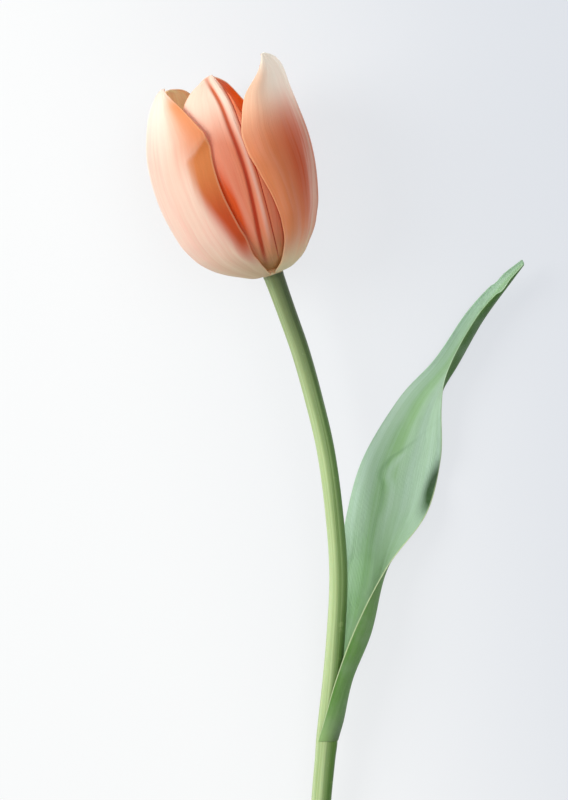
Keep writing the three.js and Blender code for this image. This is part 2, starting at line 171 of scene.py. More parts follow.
# Colours, as display values, and measures of each tepal face; the rest stay at the defaults.
COVERED = dict(Left_pale=0.0, Foot=(238, 218, 150))
FACES = {
    "outer_inside": dict(
        **COVERED, Right_pale=0.0, Tip_pale=0.2, Body=(244, 122, 44), Pale=(252, 180, 120),
        Flush=(234, 90, 26), Flush_strength=0.6, Flush_width=0.6, Flush_height=0.6,
        Flush_reach=0.6, Tint=(246, 160, 92), Tint_strength=0.3,
    ),
    # The left face is paler than the right: partly the tepal's own cream, partly painted light where
    # the side light falls on it.
    "left": dict(
        Left_pale=1.0, Right_pale=0.0, Flush=(210, 90, 38), Flush_strength=0.0,
        Fold_strength=1.0, Edge_right=0.9, Edge_low=0.56, Edge=(230, 140, 62),
        Body=(255, 243, 222), Tint_strength=0.38, Shift=1.0,
    ),
    # The right face: its pale right side, tip and foot are partly painted light where light shines
    # through the tepal; the pale band is a painted highlight.
    "right": dict(
        Left_pale=0.0, Right_pale=0.9, Tip_pale=1.0, Body=(242, 166, 118),
        Pale=(255, 250, 232), Flush_place=0.45, Flush_width=0.42,
        Flush_height=0.53, Flush_reach=0.36, Flush_strength=1.0,
        Flush=(212, 98, 44), Edge_left=0.5, Edge=(246, 160, 86),
        Tint=(246, 196, 178), Tint_strength=0.45, Foot=(255, 252, 214),
        Band_place=0.61, Band_strength=0.62, Shift=2.0,
    ),
    "back_inside": dict(
        **COVERED, Right_pale=0.3, Body=(244, 118, 40), Pale=(255, 214, 192),
        Flush=(234, 90, 26), Flush_width=0.5, Flush_height=0.5, Flush_reach=0.4,
        Tint=(246, 160, 92), Tint_strength=0.2, Shift=9.0, Edge_left=1.0,
        Edge=(240, 104, 26), Edge_low=0.4,
    ),
    "back": dict(
        Tip_pale=0.6, Body=(248, 204, 176), Flush_strength=0.3, Rib_strength=0.3,
        Shift=3.0,
    ),
    "inner_inside": dict(
        **COVERED, Right_pale=0.0, Tip_pale=0.3, Body=(244, 126, 50), Flush=(234, 92, 30),
        Flush_width=0.5, Flush_height=0.5, Flush_reach=0.5, Pale=(254, 196, 140),
        Tint=(248, 166, 96), Tint_strength=0.3, Shift=6.0,
    ),
    # A lit copy of the inner inside face: painted brighter to stand in for the side light on the back
    # left tepal's inside.
    "inner_inside_painted_lit": dict(
        **COVERED, Right_pale=0.0, Tip_pale=0.0, Body=(255, 250, 200), Flush=(250, 180, 100),
        Flush_strength=0.1, Flush_width=0.5, Flush_height=0.35, Flush_reach=0.35,
        Pale=(255, 220, 186), Tint=(250, 180, 110), Tint_strength=0.3, Shift=8.0,
    ),
    # The front face: its pale upper left is partly painted light, and its flush by the left margin is
    # partly painted shade beside the left tepal.
    "front": dict(
        Left_pale=0.35, Right_pale=0.2, Tip_pale=0.8, Pale=(255, 232, 212),
        Body=(238, 150, 108), Flush_place=0.06, Flush_width=0.25,
        Flush_height=0.43, Flush_reach=0.36, Flush_strength=1.3,
        Flush=(228, 92, 28), Rib_strength=1.2, Edge_right=0.9, Edge_low=0.62,
        Edge=(236, 116, 52), Foot=(212, 172, 112), Tint=(246, 182, 156),
        Tint_strength=0.35, Shift=4.0,
    ),
    "behind": dict(
        Left_pale=0.3, Right_pale=0.3, Tip_pale=0.6, Body=(246, 190, 156),
        Flush_strength=0.4, Rib_strength=0.4, Shift=5.0,
    ),
    "behind_right": dict(
        Left_pale=0.0, Right_pale=0.3, Tip_pale=0.2, Body=(240, 140, 80),
        Flush_strength=0.4, Edge_left=1.0, Edge=(240, 104, 26), Edge_low=0.3,
        Rib_strength=0.4, Shift=10.0,
    ),
}


def tone(red, green, blue):
    """A colour given as display values 0 to 255, as the linear values that shaders use."""
    def linear(value):
        value /= 255
        return value / 12.92 if value <= 0.04045 else ((value + 0.055) / 1.055) ** 2.4
    return linear(red), linear(green), linear(blue)


def colour_setting(name, description, display):
    return FloatVectorProperty(
        name=name, description=description, default=tone(*display), subtype="COLOR",
        size=3, min=0, max=1,
    )


def length_setting(name, description, millimetres):
    return FloatProperty(
        name=name, description=description, default=millimetres * MM, unit="LENGTH",
        subtype="DISTANCE", precision=5, min=0,
    )


def angle_setting(name, description, degrees):
    return FloatProperty(
        name=name, description=description, default=math.radians(degrees), unit="ROTATION",
        subtype="ANGLE",
    )


class TulipFlowerSettings(bpy.types.PropertyGroup):
    """Sizes and place of the flower."""

    seat: FloatVectorProperty(
        name="Receptacle", description="Where the stem meets the flower",
        default=(-0.021485, 0.078755, 0.023388), unit="LENGTH", subtype="TRANSLATION", size=3,
    )
    height: length_setting("Height", "Receptacle to tepal tips", 70)
    radius: length_setting("Radius", "Widest part of the cup", 27)
    lean: angle_setting("Lean", "Sideways lean of the flower's axis", 19)
    rise: angle_setting("Rise", "Climb of the flower's axis off the floor", 5.5)
    outer_width: length_setting("Outer width", "Width of an outer tepal", 42)
    inner_width: length_setting("Inner width", "Width of an inner tepal", 36)
    whorl_gap: length_setting("Whorl gap", "Depth between outer and inner tepals", 2.5)
    thickness: length_setting("Thickness", "Thickness of a tepal at its middle", 0.9)
    margin: length_setting("Margin", "Thickness of a tepal at its margin", 0.5)
    # Pale is partly the tepals' own cream edge, partly painted light where the side light strikes a
    # margin or shines through a tip.
    pale: colour_setting("Pale", "Cream of the sunlit margins", (255, 252, 238))
    body: colour_setting("Body", "Peach of the tepals", (255, 240, 222))
    # Flush is partly the tepals' own deeper salmon, partly painted shade on the zones that other
    # tepals cover.
    flush: colour_setting("Flush", "Deep salmon of the covered zones", (228, 116, 62))
    ochre: colour_setting("Ochre", "Yellow orange of the thin inner margins", (232, 146, 72))
    tint: colour_setting("Tint", "Pink of the soft streaks", (250, 208, 190))
    foot: colour_setting("Foot", "Yellow green of the tepals' feet", (238, 222, 184))


class TulipStemSettings(bpy.types.PropertyGroup):
    """Sizes and colours of the stem."""

    length: length_setting("Length", "Flower to cut end", 236)
    radius: length_setting("Radius", "Half the stem's thickness", 3.15)
    cut_slant: FloatProperty(name="Cut slant", description="Slope of the cut end", default=0.18)
    light: colour_setting("Light green", "Green of the smooth sides", (188, 207, 154))
    deep: colour_setting("Deep green", "Green of the streaks", (122, 150, 78))
    neck: colour_setting("Neck", "Dusky green just below the flower", (92, 106, 62))
    pith: colour_setting("Pith", "Pale flesh of the cut end", (206, 216, 160))


class TulipLeafSettings(bpy.types.PropertyGroup):
    """Sizes and colours of the leaf."""

    length: length_setting("Length", "Node to tip", 172)
    width: length_setting("Width", "Across the margins at the widest", 30)
    node: FloatProperty(
        name="Node", description="Part of the stem between flower and leaf", default=0.693,
        subtype="FACTOR", min=0, max=1,
    )
    thickness: length_setting("Thickness", "Thickness at the keel", 1.2)
    margin: length_setting("Margin", "Thickness at the margins", 0.55)
    face: colour_setting("Face", "Green of the upper face", (150, 196, 136))
    bloom: colour_setting("Bloom", "Bluish wax on the upper face", (194, 224, 202))
    back: colour_setting("Back", "Green of the outer face", (88, 144, 50))
    edge: colour_setting("Edge", "Pale line along the margins", (206, 222, 170))


class TulipHeartSettings(bpy.types.PropertyGroup):
    """Sizes and colours of the stamens and pistil."""

    stamen: length_setting("Stamen", "Length of filament and anther", 24)
    pistil: length_setting("Pistil", "Height of ovary and stigma", 24)
    filament: colour_setting("Filament", "Pale green yellow of the filaments", (214, 206, 128))
    anther: colour_setting("Anther", "Dark pollen sacs", (66, 48, 38))
    pollen: colour_setting("Pollen", "Dusting of pollen", (150, 118, 58))
    ovary: colour_setting("Ovary", "Green of the ovary", (160, 174, 96))
    stigma: colour_setting("Stigma", "Cream of the stigma lobes", (228, 218, 160))


class TulipStageSettings(bpy.types.PropertyGroup):
    """Floor, light and camera."""

    floor: colour_setting("Floor", "Pale floor", (250, 251, 252))
    painted_glow: FloatProperty(
        name="Glow", description="Share of the floor's own light, which thins the shadows",
        default=0.86, subtype="FACTOR", min=0, max=1,
    )
    key: FloatProperty(name="Key light", description="Strength of the soft side light", default=8.5)
    top: FloatProperty(name="Top light", description="Strength of the light overhead", default=4.5)
    fill: FloatProperty(name="Fill", description="Strength of the surrounding light", default=0.44)
    camera_height: FloatProperty(
        name="Camera height", description="Camera above the floor", default=1.124,
        unit="LENGTH", subtype="DISTANCE",
    )
    lens: FloatProperty(name="Lens", description="Focal length", default=148.5, unit="CAMERA")


class TulipSettings(bpy.types.PropertyGroup):
    """Everything that a user would change on the tulip."""

    flower: PointerProperty(type=TulipFlowerSettings)
    stem: PointerProperty(type=TulipStemSettings)
    leaf: PointerProperty(type=TulipLeafSettings)
    heart: PointerProperty(type=TulipHeartSettings)
    stage: PointerProperty(type=TulipStageSettings)


class Builder:
    """What the operators share: each one builds its pieces from the settings."""

    def execute(self, context):
        self.build(context.scene.cut_tulip)
        return {"FINISHED"}


# ---- Curves ----
def mix(a, b, share):
    return a + (b - a) * share


def smooth(value, low, high):
    share = min(max((value - low) / (high - low), 0), 1)
    return share * share * (3 - 2 * share)


def bump(value, centre, width):
    return math.exp(-(((value - centre) / width) ** 2))


def steady(knots):
    """Smooth curve through knots that never overshoots them."""
    slopes = [None] * len(knots)
    for i in range(1, len(knots) - 1):
        before = (knots[i][1] - knots[i - 1][1]) / (knots[i][0] - knots[i - 1][0])
        after = (knots[i + 1][1] - knots[i][1]) / (knots[i + 1][0] - knots[i][0])
        slopes[i] = 0 if before * after <= 0 else 2 * before * after / (before + after)

    def value(t):
        if t <= knots[0][0]:
            return knots[0][1]
        for i in range(1, len(knots)):
            if knots[i][0] >= t:
                break
        else:
            return knots[-1][1]
        (t0, y0), (t1, y1) = knots[i - 1], knots[i]
        span = t1 - t0
        chord = (y1 - y0) / span
        m0 = chord if slopes[i - 1] is None else slopes[i - 1]
        m1 = chord if slopes[i] is None else slopes[i]
        s = (t - t0) / span
        ease = s * s * (3 - 2 * s)
        return mix(y0, y1, ease) + s * (1 - s) ** 2 * m0 * span + s * s * (s - 1) * m1 * span

    return value


def along_points(points, t, power):
    """Catmull-Rom curve through points at t 0..1; power 0 is even, 0.5 centripetal."""
    last = len(points) - 1
    place = min(max(t, 0), 1) * last
    i = min(int(place), last - 1)
    share = place - i
    p1, p2 = points[i], points[i + 1]
    if power:
        p0 = points[i - 1] if i else p1 * 2 - p2
        p3 = points[i + 2] if i + 2 <= last else p2 * 2 - p1
    else:
        p0 = points[max(i - 1, 0)]
        p3 = points[min(i + 2, last)]
    d0, d1, d2 = (
        max((b - a).length ** power, 1e-9) if power else 1
        for a, b in ((p0, p1), (p1, p2), (p2, p3))
    )
    m1 = ((p1 - p0) / d0 - (p2 - p0) / (d0 + d1) + (p2 - p1) / d1) * d1
    m2 = ((p2 - p1) / d1 - (p3 - p1) / (d1 + d2) + (p3 - p2) / d2) * d1
    s2, s3 = share * share, share ** 3
    return (
        p1 * (2 * s3 - 3 * s2 + 1) + m1 * (s3 - 2 * s2 + share)
        + p2 * (3 * s2 - 2 * s3) + m2 * (s3 - s2)
    )


class Course:
    """Curve through points, read by its own length."""

    def __init__(self, points, power=0.5, steps=400):
        self.samples = [along_points(points, i / steps, power) for i in range(steps + 1)]
        self.lengths = [0]
        for a, b in zip(self.samples, self.samples[1:]):
            self.lengths.append(self.lengths[-1] + (b - a).length)
        self.length = self.lengths[-1]

    def at(self, t):
        want = min(max(t, 0), 1) * self.length
        low, high = 0, len(self.lengths) - 1
        while high - low > 1:
            middle = (low + high) // 2
            if self.lengths[middle] <= want:
                low = middle
            else:
                high = middle
        span = self.lengths[high] - self.lengths[low]
        return self.samples[low].lerp(self.samples[high], (want - self.lengths[low]) / span)

    def heading(self, t):
        return (self.at(min(t + 0.002, 1)) - self.at(max(t - 0.002, 0))).normalized()


# ---- Meshes ----
def grid_piece(place, columns, rows, wrapped=False):
    """Sheet or tube of vertices moved onto place(u, v); UVs keep u and v as 0..1."""
    bm = bmesh.new()
    bm.loops.layers.uv.new("UVMap")
    bmesh.ops.create_grid(bm, x_segments=columns, y_segments=rows, size=1, calc_uvs=True)
    for vert in bm.verts:
        vert.co = place(vert.co.x, (vert.co.y + 1) / 2)
    if wrapped:
        bmesh.ops.remove_doubles(bm, verts=bm.verts, dist=1e-7)
    for face in bm.faces:
        face.smooth = True
    return bm


def finish_piece(name, bm, finishes, node, slot):
    mesh = bpy.data.meshes.new(name)
    bm.to_mesh(mesh)
    bm.free()
    for finish in finishes:
        mesh.materials.append(finish)
    piece = bpy.data.objects.new(name, mesh)
    bpy.context.scene.collection.objects.link(piece)
    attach(piece, "root")
    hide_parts(node)
    return piece


def thicken(piece, full, margin, weight):
    """Gives a sheet its thickness, thinner where weight falls, and rounds it."""
    group = piece.vertex_groups.new(name="body")
    for index, value in enumerate(weight):
        group.add([index], value, "REPLACE")
    solid = piece.modifiers.new("thickness", "SOLIDIFY")
    solid.thickness = full
    solid.offset = 0
    solid.use_even_offset = False
    solid.vertex_group = "body"
    solid.thickness_vertex_group = margin / full
    solid.material_offset = 1
    round_off(piece)


def round_off(piece):
    rounding = piece.modifiers.new("rounding", "SUBSURF")
    rounding.levels = 1
    rounding.render_levels = 1


# ---- Shader building ----
class Value:
    """Output of a shader node that takes part in sums as a number does."""

    def __init__(self, tree, socket):
        self.tree = tree
        self.socket = socket

    def __add__(self, other):
        return self.tree.math("ADD", self, other)

    def __sub__(self, other):
        return self.tree.math("SUBTRACT", self, other)

    def __mul__(self, other):
        return self.tree.math("MULTIPLY", self, other)

    def __truediv__(self, other):
        return self.tree.math("DIVIDE", self, other)

    def __abs__(self):
        return self.tree.math("ABSOLUTE", self)

    def held(self):
        """The same sum, held within 0 to 1."""
        self.socket.node.use_clamp = True
        return self


class Tree:
    """Short hand for adding and joining shader nodes."""

    def __init__(self, tree, material=None):
        self.tree = tree
        self.material = material

    def put(self, socket, value):
        """Joins a node's output to the socket, or sets the constant on it."""
        if isinstance(value, Value):
            self.tree.links.new(value.socket, socket)
            return
        if hasattr(socket.default_value, "__len__") and len(socket.default_value) == 4:
            value = (*value[:3], 1)
        socket.default_value = value

    def fill(self, sockets, values):
        for key, value in values.items():
            self.put(sockets[key], value)

    def node(self, kind, inputs=None, **settings):
        """Adds a node and fills its inputs; returns all of its outputs."""
        node = self.tree.nodes.new("ShaderNode" + kind)
        row, column = divmod(len(self.tree.nodes), 12)
        node.location = (180 * column, -200 * row)
        for key, value in settings.items():
            setattr(node, key, value)
        self.fill(node.inputs, inputs or {})
        return node

    def add(self, kind, inputs=None, output=0, **settings):
        """Adds a node and fills its inputs; returns one output."""
        return Value(self, self.node(kind, inputs, **settings).outputs[output])

    def split(self, node):
        return [Value(self, socket) for socket in node.outputs]

    def math(self, operation, *values):
        return self.add("Math", dict(enumerate(values)), operation=operation)

    def ramp(self, value, low, high, to_low=0.0, to_high=1.0):
        inputs = dict(enumerate((value, low, high, to_low, to_high)))
        return self.add("MapRange", inputs, interpolation_type="SMOOTHSTEP")

    def band(self, value, centre, width):
        """1 at centre, falling smoothly to 0 at width to either side."""
        return self.ramp(abs(value - centre), 0.0, width, 1.0, 0.0)

    def blend(self, share, a, b, kind="MIX"):
        return self.add("Mix", {0: share, 6: a, 7: b}, 2, data_type="RGBA", blend_type=kind)

    def join(self, share, a, b):
        return self.add("MixShader", {0: share, 1: a, 2: b})

    def vector(self, *parts):
        return self.add("CombineXYZ", dict(enumerate(parts)))

    def parts(self, vector):
        return self.split(self.node("SeparateXYZ", {0: vector}))

    def spot(self):
        """Place on the object, in metres."""
        return self.add("TexCoord", output="Object")

    def noise(self, vector, scale, detail=3.0, roughness=0.55):
        inputs = {"Vector": vector, "Scale": scale, "Detail": detail, "Roughness": roughness}
        return self.add("TexNoise", inputs, "Fac")

    def curve(self, value, knots, low_high, reach):
        """Value read off a curve through the knots, over and back to their own ranges."""
        (low, high), (floor, top) = low_high, reach
        node = self.node("FloatCurve", {"Value": self.ramp(value, low, high)})
        spots = node.mapping.curves[0].points
        steps = [((a - low) / (high - low), (b - floor) / (top - floor)) for a, b in knots]
        spots[0].location, spots[-1].location = steps[0], steps[-1]
        for step in steps[1:-1]:
            spots.new(*step)
        node.mapping.update()
        return Value(self, node.outputs[0]) * (top - floor) + floor

    def uv(self):
        return self.parts(self.add("UVMap", uv_map="UVMap"))[:2]

    def span(self):
        """Distance from a tepal's midline, in millimetres."""
        return (self.parts(self.add("UVMap", uv_map="span"))[0] - 0.5) * SPAN

    def group(self, group, **values):
        inputs = {key.replace("_", " "): value for key, value in values.items()}
        return self.split(self.node("Group", inputs, node_tree=group))


def new_group(name, inputs, outputs):
    """Node group whose sockets are colours where the default is one, and numbers elsewhere."""
    group = bpy.data.node_groups.new(name, "ShaderNodeTree")
    for in_out, sockets in (("INPUT", inputs), ("OUTPUT", outputs)):
        for socket, value in sockets.items():
            kind = "NodeSocketColor" if value is WHITE else "NodeSocketFloat"
            made = group.interface.new_socket(socket, in_out=in_out, socket_type=kind)
            made.default_value = value
    t = Tree(group)
    source = group.nodes.new("NodeGroupInput")
    target = group.nodes.new("NodeGroupOutput")
    given = {socket.name: Value(t, socket) for socket in source.outputs}
    return t, given, target.inputs


def once(name, make):
    """The node group of that name, made the first time it is asked for."""
    return bpy.data.node_groups.get(name) or make(name)


def streaks(t, **values):
    """Fine streaks, broad streaks and a mottle."""
    return t.group(once("petal streaks", make_streaks), **values)


def make_streaks(name):
    """Fine and broad streaks that run the length of a petal or leaf."""
    t, given, out = new_group(
        name,
        {"Fine": 60.0, "Broad": 9.0, "Run": 1.2, "Shift": 0.0},
        {"Fine streaks": 0.0, "Broad streaks": 0.0, "Mottle": 0.0},
    )
    shift = given["Shift"]
    u, v = t.uv()
    side = u + t.noise(t.vector(u, v * 2.2, shift), 2.4) * 0.05
    run = v * given["Run"]
    fine = t.noise(t.vector(side * given["Fine"], run, shift), 1.0, 3.0, 0.6)
    broad = t.noise(t.vector(side * given["Broad"], run, shift), 1.0, 2.0, 0.5)
    t.fill(out, {
        "Fine streaks": t.ramp(fine, 0.3, 0.7),
        "Broad streaks": t.ramp(broad, 0.32, 0.68),
        "Mottle": t.noise(t.spot(), 90.0, 4.0, 0.6),
    })
    return t.tree


def make_tepal_colouring(name):
    """Colour and relief of a tepal from its foot, body, flush, rib and margins: partly painted light
    on the pale margins and tips, partly painted shade in the flush, fold and grooves, and a painted
    highlight band.
    """
    t, given, out = new_group(
        name,
        {
            "Pale": WHITE, "Body": WHITE, "Flush": WHITE, "Foot": WHITE, "Edge": WHITE,
            "Tint": WHITE, "Left pale": 0.5, "Right pale": 0.5, "Tip pale": 0.5,
            "Flush place": 0.5, "Flush width": 0.3, "Flush height": 0.45, "Flush reach": 0.45,
            "Flush strength": 0.5, "Rib strength": 0.0, "Edge left": 0.0, "Edge right": 0.0,
            "Edge low": 0.12, "Tint strength": 0.4, "Fold strength": 0.0, "Band place": 0.84,
            "Band strength": 0.0, "Shift": 0.0,
        },
        {"Colour": WHITE, "Height": 0.0, "Gloss": 0.0, "Thinness": 0.0},
    )
    u, v = t.uv()
    fine, broad, mottle = streaks(t, Shift=given["Shift"])
    wander = (broad - 0.5) * 0.1
    side = u + wander
    # Cream margins and tips: partly the tepal's own pale edge, partly painted light where the side
    # light falls and shines through.
    pale = t.ramp(side, 0.42, 0.0) * given["Left pale"]
    pale = (pale + t.ramp(side, 0.66, 0.98) * given["Right pale"]).held()
    pale = t.math("MAXIMUM", pale, t.ramp(v, 0.6, 0.92) * given["Tip pale"])
    colour = t.blend(pale, given["Body"], given["Pale"])
    # Soft streaks of the tint, weaker where the tepal is pale.
    soft = streaks(t, Fine=22.0, Broad=5.0, Run=1.6, Shift=given["Shift"] + 11.0)
    tinted = t.ramp(soft[1] * 0.6 + soft[0] * 0.4, 0.35, 0.85) * given["Tint strength"]
    colour = t.blend(tinted * t.ramp(pale, 0.0, 1.0, 1.0, 0.15), colour, given["Tint"])
    # The flush, a soft patch with streaky borders: partly the tepal's own deeper salmon, partly
    # painted shade where tepals cover one another.
    flush = t.band(side, given["Flush place"], given["Flush width"])
    flush = flush * t.band(v, given["Flush height"], given["Flush reach"])
    flush = (flush * given["Flush strength"] * (fine * 0.25 + 0.85)).held()
    colour = t.blend(flush, colour, given["Flush"])
    # A painted highlight: a pale stripe along the tepal at the band place.
    painted_highlight_band = t.band(side, given["Band place"], 0.08) * given["Band strength"]
    colour = t.blend(painted_highlight_band, colour, given["Pale"])
    colour = t.blend(t.ramp(v + wander * 0.35, 0.34, 0.02), colour, given["Foot"])
    edge = t.ramp(u, 0.42, 0.04) * given["Edge left"]
    edge = (edge + t.ramp(u, 0.58, 0.96) * given["Edge right"]).held()
    edge = edge * t.ramp(v - given["Edge low"], 0.0, 0.2) * t.ramp(v, 1.0, 0.88)
    colour = t.blend(edge, colour, given["Edge"])
    # The right margin turned in on itself: ochre above, deep salmon below; the deep salmon is partly
    # the orange inner face, partly painted shade in the rolled-in band.
    open_at = t.ramp(v, 0.1, 0.52, 0.12, 0.215) * t.ramp(v, 0.74, 0.65)
    depth = u + open_at - 1.0 + wander * 0.3
    depth = (depth / (open_at + 0.02)).held()
    crisp = t.ramp(v, 0.3, 0.58, 0.75, 0.4)
    fold = (t.ramp(depth, 0.0, crisp) * given["Fold strength"]).held() * t.ramp(v, 0.1, 0.3)
    fold_colour = t.blend(t.ramp(v, 0.64, 0.38), tone(228, 148, 80), given["Flush"])
    colour = t.blend(fold, colour, fold_colour)
    # The rib: a pale crest with a broad dusky groove left of it and a thin one right of it. The broad
    # groove is painted shade where the surface falls away from the crest; the thin one is partly the
    # rib's own darker line, partly painted shade in the crease.
    span = t.span()
    broad_groove = t.band(span + t.ramp(v, 0.25, 0.6, 2.8, 1.9), 0.0, 1.3)
    groove = (broad_groove + t.band(span - 1.55, 0.0, 0.5)).held()
    along = t.ramp(v, 0.02, 0.25) * t.ramp(v, 1.0, 0.9, 0.4, 1.0)
    groove = (groove * given["Rib strength"] * along).held()
    painted_groove_shade = t.blend(1.0, colour, tone(206, 118, 78), "MULTIPLY")
    colour = t.blend(groove, colour, painted_groove_shade)
    crest = t.band(span, 0.0, 0.9) * t.ramp(v, 0.15, 0.4)
    colour = t.blend((crest * given["Rib strength"] * 0.5).held(), colour, given["Pale"])
    # A thin bright line along the margins, darker and paler streaks, and a fine mottle.
    rim = t.math("MAXIMUM", t.ramp(u, 0.02, 0.004), t.ramp(u, 0.98, 0.996))
    colour = t.blend(rim * 0.5, colour, tone(252, 206, 158))
    shade = fine * 0.05 + broad * 0.08 + mottle * 0.05 + 0.88
    warm = t.vector(shade * 0.5 + 0.5, shade, shade * 1.15 - 0.15)
    t.fill(out, {
        "Colour": t.blend(1.0, colour, warm, "MULTIPLY"),
        "Height": fine * 0.12 + broad * 0.5 - groove * 0.8 + mottle * 0.1,
        "Gloss": fine * 0.12 + 0.42,
        "Thinness": t.ramp(pale, 0.0, 0.9, 0.45, 0.12),
    })
    return t.tree


def new_material(name):
    material = bpy.data.materials.new(name)
    material.use_nodes = True
    material.node_tree.nodes.clear()
    return Tree(material.node_tree, material)


def finish_shader(t, colour, roughness, height, depth, thin=None, sheen=0.0, subsurface=0.0):
    """Material output: Principled, with a share of light let through for thin tissue."""
    relief = t.add("Bump", {"Strength": 0.6, "Distance": depth, "Height": height})
    shader = t.add("BsdfPrincipled", {
        "Base Color": colour, "Roughness": roughness, "Specular IOR Level": 0.35,
        "Sheen Weight": sheen, "Sheen Roughness": 0.5, "Subsurface Weight": subsurface,
        "Subsurface Radius": (0.0025, 0.0012, 0.0006), "Subsurface Scale": 1.0, "Normal": relief,
    })
    if thin is not None:
        through = t.add("BsdfTranslucent", {"Color": colour, "Normal": relief})
        shader = t.join(thin, shader, through)
    t.node("OutputMaterial", {"Surface": shader})
    return t.material


def tepal_finish(name, **values):
    """Finish of one tepal face; colours are display values, or else the flower's own."""
    flower = bpy.context.scene.cut_tulip.flower
    given = {
        "Pale": flower.pale, "Body": flower.body, "Flush": flower.flush, "Foot": flower.foot,
        "Edge": flower.ochre, "Tint": flower.tint,
    }
    for key, value in values.items():
        given[key] = tone(*value) if isinstance(value, tuple) else value
    t = new_material(name)
    colour, height, gloss, thin = t.group(once("tepal colouring", make_tepal_colouring), **given)
    return finish_shader(t, colour, gloss, height, 0.0004, thin, sheen=0.1)


# ---- Flower ----
def cup_course(flower, inset, tip):
    """Side line of a tepal in (radius, height), the inner whorl set in from the outer."""
    receptacle = bpy.context.scene.cut_tulip.stem.radius * RECEPTACLE
    points = [Vector((receptacle + 0.7 * MM, 0.65 * MM))]
    points += [Vector((r * flower.radius, a * flower.height)) for r, a in CUP + tip]
    whole = Course(points, power=0)
    if inset == 0:
        return whole
    inner = [Vector((receptacle * RECEPTACLE_TOP + 0.95 * MM, 2 * MM))]
    for i in range(2, 17):
        along = whole.heading(i / 16)
        depth = inset * mix(0.72, 1, smooth(i, 2, 5))
        inner.append(whole.at(i / 16) + Vector((-along.y, along.x)) * depth)
    return Course(inner, power=0)


def flower_place():
    flower = bpy.context.scene.cut_tulip.flower
    return (
        Matrix.Translation(flower.seat) @ Matrix.Rotation(flower.lean, 4, "Z")
        @ Matrix.Rotation(flower.rise, 4, "X")
    )


def build_tepal(side, facing, halves, tip, finishes, relief, lean=0, gather=0, columns=56):
    """One tepal: its side line swept round the flower's axis between its margins."""
    flower = bpy.context.scene.cut_tulip.flower
    whorl = side.split("_")[0]
    inner = whorl == "inner"
    width = flower.inner_width if inner else flower.outer_width
    course = cup_course(flower, flower.whorl_gap if inner else 0, tip)
    sway = steady(SWAY)
    left, right = (steady(half) for half in halves)
    floor_up = Vector((0, math.sin(flower.rise), math.cos(flower.rise)))
    centre = math.radians(facing)
    to_floor = flower_place()

    def spread(x, v):
        """Part of the half width at grid place x, and its distance from the midline."""
        u = x * (1 - gather + gather * x * x)
        half = (left if u < 0 else right)(v) * width / 2
        return u, u * half

    def place(x, v):
        u, across = spread(x, v)
        at = course.at(v)
        r = at.x + relief(u, v, across / MM) * MM
        angle = centre + (across + lean * MM * smooth(v, 0.5, 1)) / r
        aside = sway(at.y / flower.height) * flower.height
        p = Vector((r * math.sin(angle) + aside, at.y, r * math.cos(angle)))
        height = flower.seat[2] + p.dot(floor_up)
        rest = mix(flower.thickness, flower.margin, u * u) / 2
        if height < rest:
            p += floor_up * (rest - height)
        return to_floor @ p

    bm = grid_piece(place, columns, TEPAL_ROWS)
    weights = [0.0] * len(bm.verts)
    uv = bm.loops.layers.uv.active
    span = bm.loops.layers.uv.new("span")
    for face in bm.faces:
        for loop in face.loops:
            x, v = loop[uv].uv.x * 2 - 1, loop[uv].uv.y
            weights[loop.vert.index] = 1 - x * x
            loop[span].uv = spread(x, v)[1] / (SPAN * MM) + 0.5, v
    node = side.replace("_", "_tepal_", 1)
    piece = finish_piece(f"petal_{side}", bm, finishes, node, f"{whorl}_tepal")
    thicken(piece, flower.thickness, flower.margin, weights)


def folds(u, v, depth, count, phase):
    """Soft lengthwise flutes that fade at the foot."""
    return depth * math.sin(count * u + phase) * smooth(v, 0.05, 0.4)


def left_relief(u, v, across):
    opened = mix(0.14, 0.42, smooth(v, 0.1, 0.52)) * (1 - smooth(v, 0.65, 0.74))
    fold = -1.5 * smooth(u, 1 - opened - 0.02, 1) * smooth(v, 0.12, 0.3) * (1 - smooth(v, 0.68, 0.76))
    crease = -0.45 * bump(u, 0.1, 0.12) * bump(v, 0.8, 0.14)
    wave = 0.3 * bump(v, 0.2, 0.05) * smooth(u, 0.6, 1)
    beak = 0.8 * bump(v, 1, 0.05) * (1 - abs(u))
    return fold + crease + wave + beak + folds(u, v, 0.12, 8, 0.6)


def right_relief(u, v, across):
    fold = -1.0 * smooth(-u, 0.72, 1) * smooth(v, 0.15, 0.35) * (1 - smooth(v, 0.85, 1))
    crease = -0.5 * bump(u, 0.05, 0.14) * bump(v, 0.28, 0.22)
    rib = 0.4 * bump(u, 0.3, 0.09) * smooth(v, 0.05, 0.3)
    wave = 0.35 * bump(v, 0.6, 0.05) * smooth(-u, 0.5, 1)
    return fold + crease + rib + wave + folds(u, v, 0.1, 9, 2)


def back_relief(u, v, across):
    lift = -0.9 * smooth(v, 0.9, 1)
    return lift + folds(u, v, 0.05, 8, 1) * smooth(abs(u), 0.3, 0.7)


def front_relief(u, v, across):
    crest = 0.3 * bump(across, 0, 0.9) - 0.22 * bump(across, -1.9, 0.9) - 0.2 * bump(across, 1.6, 0.4)
    rib = crest * smooth(v, 0.04, 0.25) * (1 - 0.3 * smooth(v, 0.9, 1))
    foot = 1.5 * bump(across, 0.5, 4.5) * (1 - smooth(v, 0.2, 0.6))
    belly = 0.5 * bump(across, 2, 4) * smooth(v, 0.3, 0.6) * (1 - smooth(v, 0.8, 1))
    sink = -0.6 * smooth(-u, 0.4, 0.8) * bump(v, 0.42, 0.3)
    return rib + foot + belly + sink + folds(u, v, 0.05, 8, 0.2)


def inner_relief(u, v, across):
    rib = 0.4 * bump(across, 0, 1.6) * smooth(v, 0.06, 0.3)
    return rib + folds(u, v, 0.15, 8, 1.4)


def tepal_finishes(names):
    """Finishes by name, each made from its row of FACES."""
    made = {}
    for name in names:
        made[name] = tepal_finish(f"tepal_{name}", **FACES[name])
    return made


